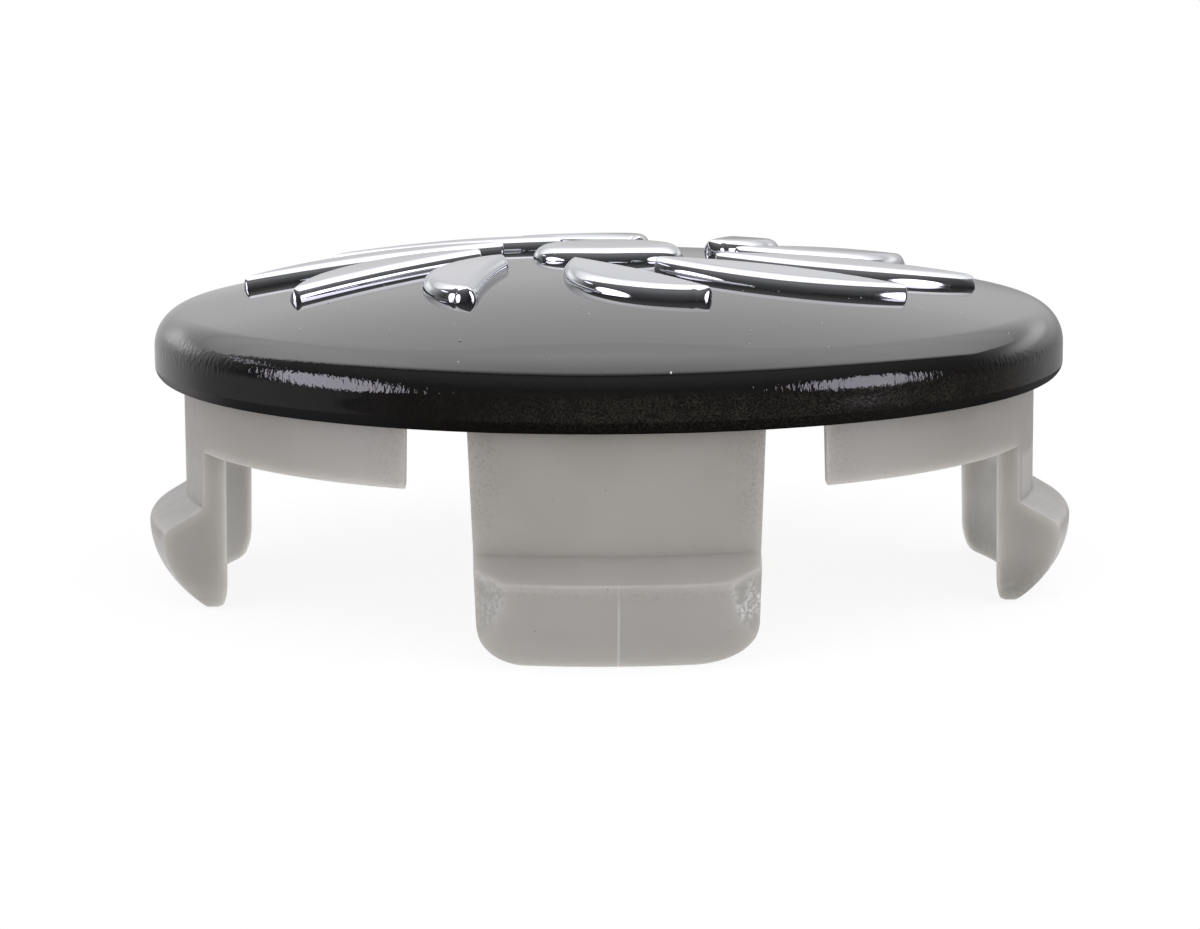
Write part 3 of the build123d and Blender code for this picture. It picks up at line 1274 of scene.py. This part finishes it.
@dataclass(frozen=True)
class Softbox:
    """Soft oval light that faces the cap, placed by its bearing from the front and its height.

    The sheet's place, size and lean are in degrees, as the cap sees it.
    """

    name: str
    bearing: float
    rise: float
    wide: float
    tall: float
    level: float
    lean: float = 0.0
    rest: float = 0.1
    edge: Ramp = Ramp(1.0, 0.88)
    distance: float = 600.0
    steps: int = 33

    def sheet(self, centre: np.ndarray) -> tuple[np.ndarray, np.ndarray]:
        """Points and levels of the light.

        The sheet stands straight out from the cap, leaned about that line. The level falls to the
        sheet's rest level at an oval within the sheet, over about the outer eighth of its reach.

        Args:
            centre: Point that it faces, in millimetres.

        Returns:
            Points, rows by columns by 3, and the level of every point.
        """
        bearing, rise = math.radians(self.bearing), math.radians(self.rise)
        ahead = np.array([math.sin(bearing), -math.cos(bearing), 0.0])
        away = ahead * math.cos(rise) + np.array([0.0, 0.0, math.sin(rise)])
        right = np.array([math.cos(bearing), math.sin(bearing), 0.0])
        up = np.cross(right, -away)
        lean = math.radians(self.lean)
        along = right * math.cos(lean) + up * math.sin(lean)
        across = up * math.cos(lean) - right * math.sin(lean)
        half_wide = self.distance * math.tan(math.radians(self.wide / 2.0))
        half_tall = self.distance * math.tan(math.radians(self.tall / 2.0))
        share = np.linspace(-1.0, 1.0, self.steps)
        middle = centre + away * self.distance
        points = middle + (share * half_wide)[None, :, None] * along
        points = points + (share * half_tall)[:, None, None] * across
        out = np.hypot(share[None, :], share[:, None])
        return points, np.maximum(self.level * self.edge.at(out), self.rest)


@dataclass(frozen=True)
class Canopy:
    """Level sheet overhead, brightest above the cap, with a soft front edge that bends back."""

    name: str = "studio_canopy"
    z: float = 415.0
    half: float = 760.0
    back: float = 680.0
    front: float = -184.0
    edge: float = 120.0
    bend_left: float = 1.1
    bend_right: float = 0.8
    bend_round: float = 200.0
    depths: tuple[float, ...] = (0.0, 70.0, 186.0, 414.0, 680.0)
    levels: tuple[float, ...] = (3.15, 3.15, 2.6, 1.6, 1.05)
    gain_left: float = 0.2
    gain_right: float = 0.14
    gain: Ramp = Ramp(80.0, 260.0)
    rows: int = 81
    columns: int = 97

    def sheet(self) -> tuple[np.ndarray, np.ndarray]:
        """Points and levels of the canopy.

        The front edge is a hyperbola over x, bent more on the left. The level falls off towards
        the back, grows a little to both sides and fades in over the soft edge.

        Returns:
            Points, rows by columns by 3, and the level of every point.
        """
        x = np.linspace(-self.half, self.half, self.columns)
        bend = np.where(x < 0.0, self.bend_left, self.bend_right)
        front = self.front - self.edge / 2.0 + bend * (np.hypot(x, self.bend_round) - self.bend_round)
        share = np.linspace(0.0, 1.0, self.rows)
        y = front[None, :] + (self.back - front)[None, :] * share[:, None]
        grid = np.dstack([np.repeat(x[None, :], self.rows, axis=0), y, np.full_like(y, self.z)])
        level = np.interp(y, self.depths, self.levels)
        level *= 1.0 + np.where(x < 0.0, self.gain_left, self.gain_right) * self.gain.at(np.abs(x))[None, :]
        level *= eased(y - front[None, :], 0.0, self.edge)
        return grid, level


@dataclass(frozen=True)
class Panel:
    """Soft-edged patch of the surroundings: its middle and half of its size in degrees, its level."""

    bearing: float
    rise: float
    half_wide: float
    half_tall: float
    level: float

    def at(self, bearing: np.ndarray, rise: np.ndarray) -> np.ndarray:
        """Levels of the patch: the product of two flat-topped bells, exp(-d^4), times its level.

        Args:
            bearing: Bearings of the columns, in degrees.
            rise: Heights of the rows, in degrees.

        Returns:
            Rows by columns.
        """
        across = np.exp(-(((bearing - self.bearing) / self.half_wide) ** 4))
        up = np.exp(-(((rise - self.rise) / self.half_tall) ** 4))
        return self.level * (up[:, None] * across[None, :])


@dataclass(frozen=True)
class Surround:
    """Sphere round the studio, dark in front and pale behind."""

    name: str = "studio_surround"
    radius: float = 1300.0
    front_rises: tuple[float, ...] = (-60.0, -10.0, 0.0, 25.0, 50.0)
    front_levels: tuple[float, ...] = (0.03, 0.04, 0.06, 0.15, 0.35)
    back_rises: tuple[float, ...] = (-60.0, -20.0, -8.0, 0.0, 8.0, 15.0, 30.0, 60.0)
    back_levels: tuple[float, ...] = (0.25, 0.4, 0.5, 0.58, 0.8, 1.05, 1.15, 1.2)
    behind: Ramp = Ramp(100.0, 140.0)
    low_down: Ramp = Ramp(8.0, -2.0)
    low_left: float = 1.14
    low_right: float = 0.72
    panels: tuple[Panel, ...] = (
        Panel(bearing=-142.0, rise=12.0, half_wide=12.0, half_tall=6.0, level=0.8),
        Panel(bearing=136.0, rise=15.0, half_wide=17.0, half_tall=4.5, level=0.7),
        Panel(bearing=-88.0, rise=-12.0, half_wide=26.0, half_tall=12.0, level=0.3),
    )
    rows: int = 91
    columns: int = 145

    def sheet(self) -> tuple[np.ndarray, np.ndarray]:
        """Points and levels of the sphere.

        The level is read from two tables by height, one for the front and one for the back, and
        eased from one to the other with the bearing. Low down it differs from left to right, and
        the panels are added to it.

        Returns:
            Points, rows by columns by 3, and the level of every point.
        """
        bearing = np.linspace(-180.0, 180.0, self.columns)
        rise = np.linspace(-90.0, 90.0, self.rows)
        flat = self.radius * np.cos(np.radians(rise))[:, None]
        high = self.radius * np.sin(np.radians(rise))
        grid = np.dstack([
            flat * np.sin(np.radians(bearing))[None, :],
            -flat * np.cos(np.radians(bearing))[None, :],
            np.repeat(high[:, None], self.columns, axis=1),
        ])
        front = np.interp(rise, self.front_rises, self.front_levels)
        back = np.interp(rise, self.back_rises, self.back_levels)
        share = self.behind.at(np.abs(bearing))[None, :]
        level = front[:, None] * (1.0 - share) + back[:, None] * share
        side = np.where(bearing > 0.0, self.low_right, self.low_left)[None, :]
        level *= 1.0 + (side - 1.0) * self.low_down.at(rise)[:, None]
        for panel in self.panels:
            level += panel.at(bearing, rise)
        return grid, level


@dataclass(frozen=True)
class Floor:
    """Round pale floor: white to the camera and in reflections, with the cap's soft shadow.

    Matte surfaces get a light from it that is read by the distance from the axis.
    """

    name: str = "studio_floor"
    radius: float = 46.0
    level_radii: tuple[float, ...] = (0.0, 24.0, 30.0, 46.0)
    levels: tuple[float, ...] = (1.15, 1.05, 0.85, 0.82)
    shade: Colour = (0.16, 0.16, 0.16)
    white: float = 0.88
    rows: int = 24
    columns: int = 97

    def sheet(self) -> tuple[np.ndarray, np.ndarray]:
        """Points and levels of the floor.

        Returns:
            Points, rings by spokes by 3, and the level of every point.
        """
        radius = np.linspace(0.0, self.radius, self.rows)
        angle = np.linspace(0.0, 2.0 * math.pi, self.columns)
        flat = np.zeros((self.rows, self.columns))
        grid = np.dstack([np.outer(radius, np.cos(angle)), np.outer(radius, np.sin(angle)), flat])
        level = np.interp(radius, self.level_radii, self.levels)
        return grid, np.repeat(level[:, None], self.columns, axis=1)

    def material(self) -> bpy.types.Material:
        """Write the floor's nodes: a shaded white where it is seen, the sheet's level elsewhere.

        Returns:
            The material.
        """
        bench = Bench("pale_floor")
        path = bench.add("ShaderNodeLightPath", {}, {})
        seen = bench.math("MAXIMUM", path.outputs["Is Camera Ray"], path.outputs["Is Glossy Ray"])
        seen = bench.math("MAXIMUM", seen, path.outputs["Is Transmission Ray"])
        pale = bench.add("ShaderNodeEmission", {}, {"Strength": bench.mark("glow")})
        soft = bench.add("ShaderNodeBsdfDiffuse", {}, {"Color": (*self.shade, 1.0)})
        white = bench.add("ShaderNodeEmission", {}, {"Strength": self.white})
        both = bench.add("ShaderNodeAddShader", {}, {0: soft.outputs[0], 1: white.outputs[0]})
        mixed = bench.add("ShaderNodeMixShader", {}, {0: seen, 1: pale.outputs[0], 2: both.outputs[0]})
        bench.material.cycles.emission_sampling = "NONE"
        return bench.surface(mixed)


@dataclass(frozen=True)
class Studio:
    """Pale floor, white world, a soft canopy overhead, dim surroundings and softboxes."""

    centre: Point = (0.0, 0.0, 16.0)
    ambient_bearing: tuple[float, ...] = (-180, -130, -90, -55, -28, 0, 28, 55, 90, 130, 180)
    ambient_round: tuple[float, ...] = (0.43, 0.51, 0.7, 1.22, 1.38, 1.5, 1.38, 0.96, 1.16, 0.68, 0.43)
    ambient_rise: Ramp = Ramp(-12.0, 8.0, 0.68, 1.0)
    directed: float = 0.01
    sky_tint: Colour = (0.985, 0.983, 1.0)
    lamp_tint: Colour = (0.97, 0.94, 1.08)
    fold: float = 60.0
    softboxes: tuple[Softbox, ...] = (
        Softbox("softbox_left", bearing=-72.0, rise=9.0, wide=43.0, tall=28.0, level=5.7, lean=-24.0),
        Softbox("strip_left", bearing=-108.0, rise=24.5, wide=15.0, tall=4.0, level=3.3),
        Softbox("softbox_right", bearing=63.0, rise=10.0, wide=34.0, tall=32.0, level=5.2, lean=-14.0),
    )

    def glow_material(self, tint: Colour) -> bpy.types.Material:
        """Material that shines by the sheet's own values.

        Reflections see the glow. Matte surfaces get the sheet's ambient light and a small share of
        the glow.

        Args:
            tint: Colour of the light.

        Returns:
            The material.
        """
        bench = Bench("studio_glow")
        glow = bench.mark("glow")
        matte = bench.add("ShaderNodeLightPath", {}, {}).outputs["Is Diffuse Ray"]
        even = bench.math("ADD", bench.product(glow, self.directed), bench.mark("ambient"))
        level = bench.product(glow, bench.math("SUBTRACT", 1.0, matte))
        level = bench.math("ADD", level, bench.product(even, matte))
        shine = bench.add("ShaderNodeEmission", {}, {"Strength": level, "Color": (*tint, 1.0)})
        bench.material.cycles.emission_sampling = "NONE"
        return bench.surface(shine)

    def hang(self, name: str, grid: np.ndarray, glow: np.ndarray,
             material: bpy.types.Material) -> bpy.types.Object:
        """Open sheet of the studio, unseen by the camera.

        The ambient light is read by bearing, and is weaker from below than from above.

        Args:
            name: Object's name.
            grid: Points, rows by columns by 3.
            glow: Level of every point.
            material: Glow or floor.

        Returns:
            The sheet's object.
        """
        quads = np.stack(cell_corners(*grid.shape[:2]), axis=2)
        away = (grid - np.array(self.centre)).reshape(-1, 3)
        bearing = np.degrees(np.arctan2(away[:, 0], -away[:, 1]))
        rise = np.degrees(np.arctan2(away[:, 2], np.hypot(away[:, 0], away[:, 1])))
        ambient = np.interp(bearing, self.ambient_bearing, self.ambient_round) * self.ambient_rise.at(rise)
        shape = Shape(grid.reshape(-1, 3).copy(), [quads.reshape(-1, 4)],
                      marks={"glow": glow.ravel(), "ambient": ambient})
        sheet = shape.as_object(name, [material], self.fold)
        sheet.visible_camera = False
        return sheet

    def world(self) -> None:
        """White surroundings at the level that is white to the camera."""
        world = bpy.data.worlds.new("white_studio")
        bpy.context.scene.world = world
        world.use_nodes = True
        background = world.node_tree.nodes["Background"]
        background.inputs["Color"].default_value = (1.0, 1.0, 1.0, 1.0)
        background.inputs["Strength"].default_value = 1.0

    def build(self) -> None:
        """Put up the whole studio."""
        self.world()
        floor = Floor()
        self.hang(floor.name, *floor.sheet(), floor.material()).visible_camera = True
        sky = self.glow_material(self.sky_tint)
        for high in (Canopy(), Surround()):
            self.hang(high.name, *high.sheet(), sky)
        lamp = self.glow_material(self.lamp_tint)
        for softbox in self.softboxes:
            self.hang(softbox.name, *softbox.sheet(np.array(self.centre)), lamp)


@dataclass(frozen=True)
class Viewpoint:
    """Camera that was fitted to the cap's outline, in millimetres and degrees."""

    stand: Point = (-4.305, -259.58, 50.54)
    target: Point = (-0.665, 0.011, 8.34)
    roll: float = -0.36
    lens: float = 110.58
    sensor: float = 36.0
    nearest: float = 10.0

    def build(self) -> bpy.types.Object:
        """Set up the camera.

        Returns:
            The camera's object.
        """
        data = bpy.data.cameras.new("camera")
        data.sensor_width = self.sensor
        data.lens = self.lens
        data.clip_start = self.nearest * MM
        camera = bpy.data.objects.new("camera", data)
        stand = Vector(self.stand) * MM
        ahead = (Vector(self.target) * MM - stand).normalized()
        right = ahead.cross(Vector((0.0, 0.0, 1.0))).normalized()
        up = right.cross(ahead)
        angle = math.radians(self.roll)
        level = right * math.cos(angle) + up * math.sin(angle)
        above = up * math.cos(angle) - right * math.sin(angle)
        turn = Matrix((level, above, -ahead)).transposed()
        camera.matrix_world = Matrix.Translation(stand) @ turn.to_4x4()
        bpy.context.scene.collection.objects.link(camera)
        bpy.context.scene.camera = camera
        return camera


def main() -> None:
    """Build the cap, the studio and the camera."""
    logging.basicConfig(level=logging.INFO, format="%(name)s %(message)s")
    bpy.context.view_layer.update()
    bpy.context.scene.view_settings.view_transform = "Standard"
    CentreCap().build()
    Studio().build()
    Viewpoint().build()


if __name__ == "__main__":
    main()
